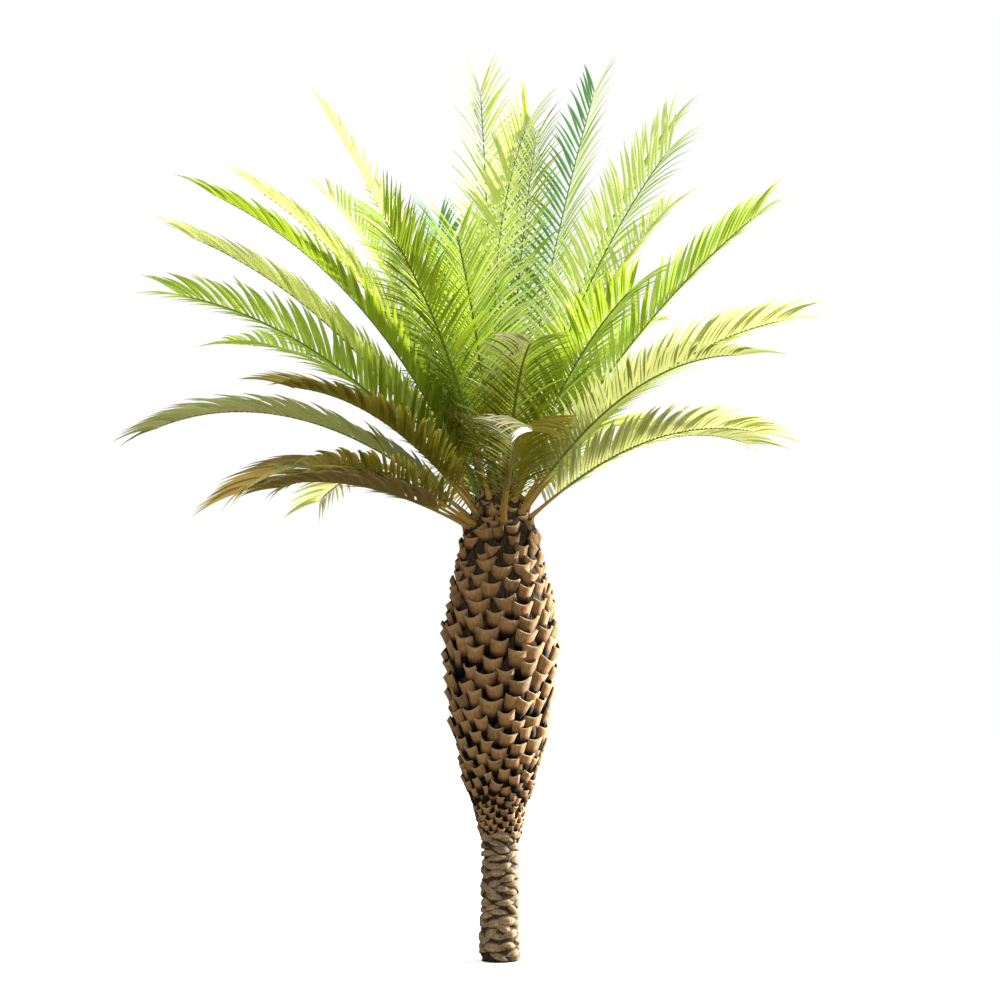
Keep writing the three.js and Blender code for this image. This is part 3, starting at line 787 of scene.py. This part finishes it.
def tints_of(number, tints, leaves):
    """The rank in TINTS of each leaflet's tint on one frond."""
    rows = [rank[tint] for tint in tints.split()]
    chosen = np.where(leaves["hand"] > 0, rows[0], rows[-1])
    step = chance.choice((-1, 0, 1), len(chosen), p=(STRAYS / 2, 1 - STRAYS, STRAYS / 2))
    can_stray = (chosen > rank["straw"]) & (chosen < rank["pale_lime"])
    chosen = np.where(can_stray, np.maximum(chosen + step, rank["olive_brown"]), chosen)
    # age and painted shade: lower in the crown each leaflet takes a darker tint
    older = ((AGED_AND_SHADED_BELOW - leaves["origin"][:, 2]) / AGED_AND_SHADED_STEP).clip(0, MOST_AGED_AND_SHADED).astype(int)
    can_age_and_shade = (chosen > rank["olive"]) & (chosen < rank["pale_lime"])
    chosen = np.where(can_age_and_shade, np.maximum(chosen - older, rank["olive"]), chosen)
    if number == BLEACHED_FROND:
        chosen[(leaves["hand"] > 0) & (leaves["share"] > BLEACHED_FROM)] = rank["bleached"]
    return chosen


all_leaves, tint_of_leaf = [], []
for number, (rib, tints) in enumerate(zip(ribs, FROND_TINTS), start=1):
    all_leaves.append(leaflet_frames(rib))
    tint_of_leaf.append(tints_of(number, tints, all_leaves[-1]))
joined = {key: np.concatenate([leaves[key] for leaves in all_leaves]) for key in all_leaves[0]}
tint_of_leaf = np.concatenate(tint_of_leaf)
blade = leaflet_shape()
for tint, index in rank.items():
    leaves = {key: values[tint_of_leaf == index] for key, values in joined.items()}
    slot = ("frond_low" if index < rank["leaf_green"]
            else "frond_middle" if index < rank["lime"] else "frond_high")
    piece = put(f"leaflets_{tint}", grow(f"leaflets_{tint}", blade, leaves), slot,
                leaf_material(f"leaf_{tint}", TINTS[tint]))
    stood_for = [
        node for frond_nodes, tints in zip(nodes_of_frond, FROND_TINTS)
        if tints.split()[0] == tint for node in frond_nodes
    ]
    if stood_for:
        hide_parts(*stood_for)

# ---- studio ------------------------------------------------------------------------------------
# A white cyclorama: pale floor, white surroundings, a strong soft key high behind on the right
# that shines through the crown, a spot low on that side for the trunk alone, and a weak fill from
# the front with the sky's own even light.
FLOOR_RADIUS, FLOOR_DROP = 60, 0.002  # it lies just below the ground, clear of the trunk's cut


def show_to_camera(tree, seen, otherwise, output):
    """Give a surface or a sky one shader that the camera sees and another that lights the palm."""
    path = tree.nodes.new("ShaderNodeLightPath")
    choose = tree.nodes.new("ShaderNodeMixShader")
    tree.links.new(path.outputs["Is Camera Ray"], choose.inputs["Fac"])
    tree.links.new(otherwise, choose.inputs[1])
    tree.links.new(seen, choose.inputs[2])
    tree.links.new(choose.outputs["Shader"], tree.nodes[output].inputs["Surface"])


def floor_paint():
    """White paint that glows a little for the camera, and is dull for the palm's underside."""
    material = bpy.data.materials.new("floor_paint")
    material.use_nodes = True
    paint = material.node_tree.nodes["Principled BSDF"]
    paint.inputs["Base Color"].default_value = (0.9, 0.9, 0.9, 1)
    paint.inputs["Roughness"].default_value = 0.9
    paint.inputs["Emission Color"].default_value = (1, 1, 1, 1)
    paint.inputs["Emission Strength"].default_value = 0.45
    dull = material.node_tree.nodes.new("ShaderNodeBsdfDiffuse")
    dull.inputs["Color"].default_value = (0.22, 0.21, 0.18, 1)
    show_to_camera(
        material.node_tree, paint.outputs["BSDF"], dull.outputs["BSDF"], "Material Output")
    return material


disc = bmesh.new()
bmesh.ops.create_circle(disc, cap_ends=True, segments=96, radius=FLOOR_RADIUS)
floor_mesh = bpy.data.meshes.new("floor")
disc.to_mesh(floor_mesh)
disc.free()
floor_mesh.materials.append(floor_paint())
floor = bpy.data.objects.new("floor", floor_mesh)
floor.location.z = -FLOOR_DROP
bpy.context.collection.objects.link(floor)

world = bpy.data.worlds.new("white_room")
world.use_nodes = True
sky = world.node_tree.nodes["Background"]
sky.inputs["Color"].default_value = (1, 1, 1, 1)
sky.inputs["Strength"].default_value = 0.42
wall = world.node_tree.nodes.new("ShaderNodeBackground")
wall.inputs["Color"].default_value = (1, 1, 1, 1)
show_to_camera(
    world.node_tree, wall.outputs["Background"], sky.outputs["Background"], "World Output")
bpy.context.scene.world = world


def hang(name, lamp, away, place=(0, 0, 0)):
    """Put a lamp in the scene with its back turned away from what it lights."""
    holder = bpy.data.objects.new(name, lamp)
    holder.location = place
    holder.rotation_euler = away.to_track_quat("Z", "Y").to_euler()
    bpy.context.collection.objects.link(holder)


def add_sun(name, bearing, height, strength, softness):
    lamp = bpy.data.lights.new(name, "SUN")
    lamp.energy = strength
    lamp.angle = np.radians(softness)
    turn, lift = np.radians(bearing), np.radians(height)
    hang(name, lamp, Vector(
        (np.cos(turn) * np.cos(lift), np.sin(turn) * np.cos(lift), np.sin(lift))))


def add_spot(name, place, aim, power, spread):
    lamp = bpy.data.lights.new(name, "SPOT")
    lamp.energy = power
    lamp.spot_size = np.radians(spread)
    lamp.spot_blend = 0.4
    lamp.shadow_soft_size = 0.15
    hang(name, lamp, Vector(place) - Vector(aim), place)


add_sun("key", bearing=20, height=42, strength=10.0, softness=5)
add_sun("fill", bearing=262, height=42, strength=1.3, softness=50)
add_spot("kicker", place=(5.5, 2.2, 0.8), aim=(0, 0, 1.15), power=6000, spread=28)

CAMERA_DISTANCE = 14.0
EYE_HEIGHT = 1.65
AIM_HEIGHT = 2.774
camera_data = bpy.data.cameras.new("camera")
camera_data.lens = 82.9
camera_data.sensor_width = 36
camera = bpy.data.objects.new("camera", camera_data)
camera.location = (0, -CAMERA_DISTANCE, EYE_HEIGHT)
camera.rotation_euler = (np.pi / 2 + np.arctan2(AIM_HEIGHT - EYE_HEIGHT, CAMERA_DISTANCE), 0, 0)
bpy.context.collection.objects.link(camera)
bpy.context.scene.camera = camera
bpy.context.scene.view_settings.view_transform = "Standard"
